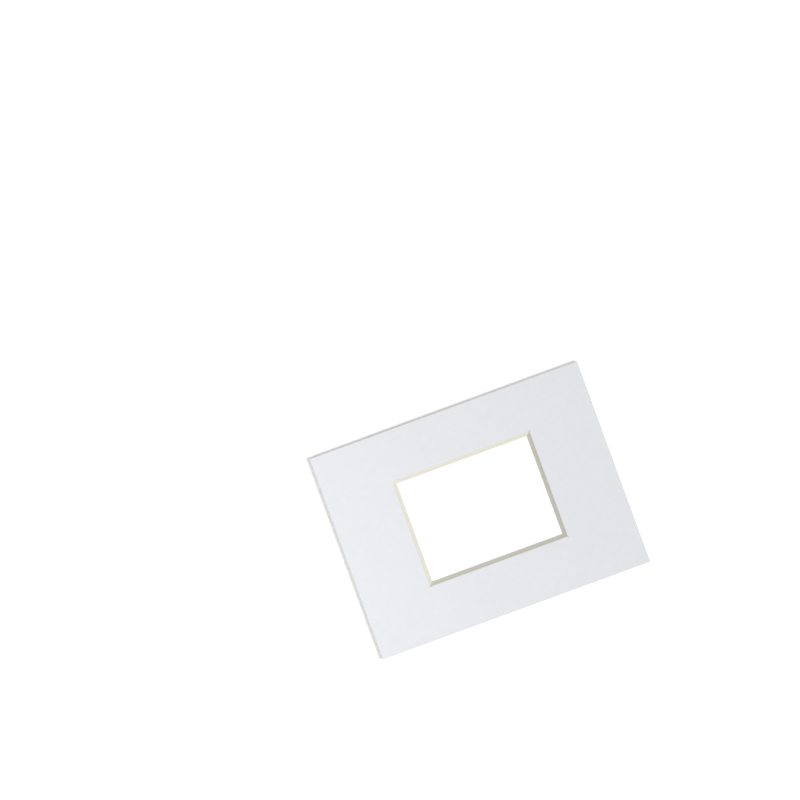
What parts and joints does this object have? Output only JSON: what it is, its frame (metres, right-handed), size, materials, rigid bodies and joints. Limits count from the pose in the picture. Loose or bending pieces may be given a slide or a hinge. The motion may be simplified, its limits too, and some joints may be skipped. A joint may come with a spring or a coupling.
{
  "type": "picture mount",
  "caption": "Landscape picture mount: a flat sheet of thick white board with a bevel-cut window that frames a small picture and keeps it clear of the glazing.",
  "frame": {"origin": "middle of the board's back face, which is the middle of the base of its box", "axes": "+X along the long side, +Y towards the top edge as the mount hangs, +Z out of the face. It lies on its back, face up, because a sheet can't stand by itself."},
  "size_m": [0.2032, 0.1524, 0.0031],
  "materials": {
    "mount_board": "matte"
  },
  "bodies": {
    "root": {"mount_board": "mount_board"}
  },
  "joints": []
}
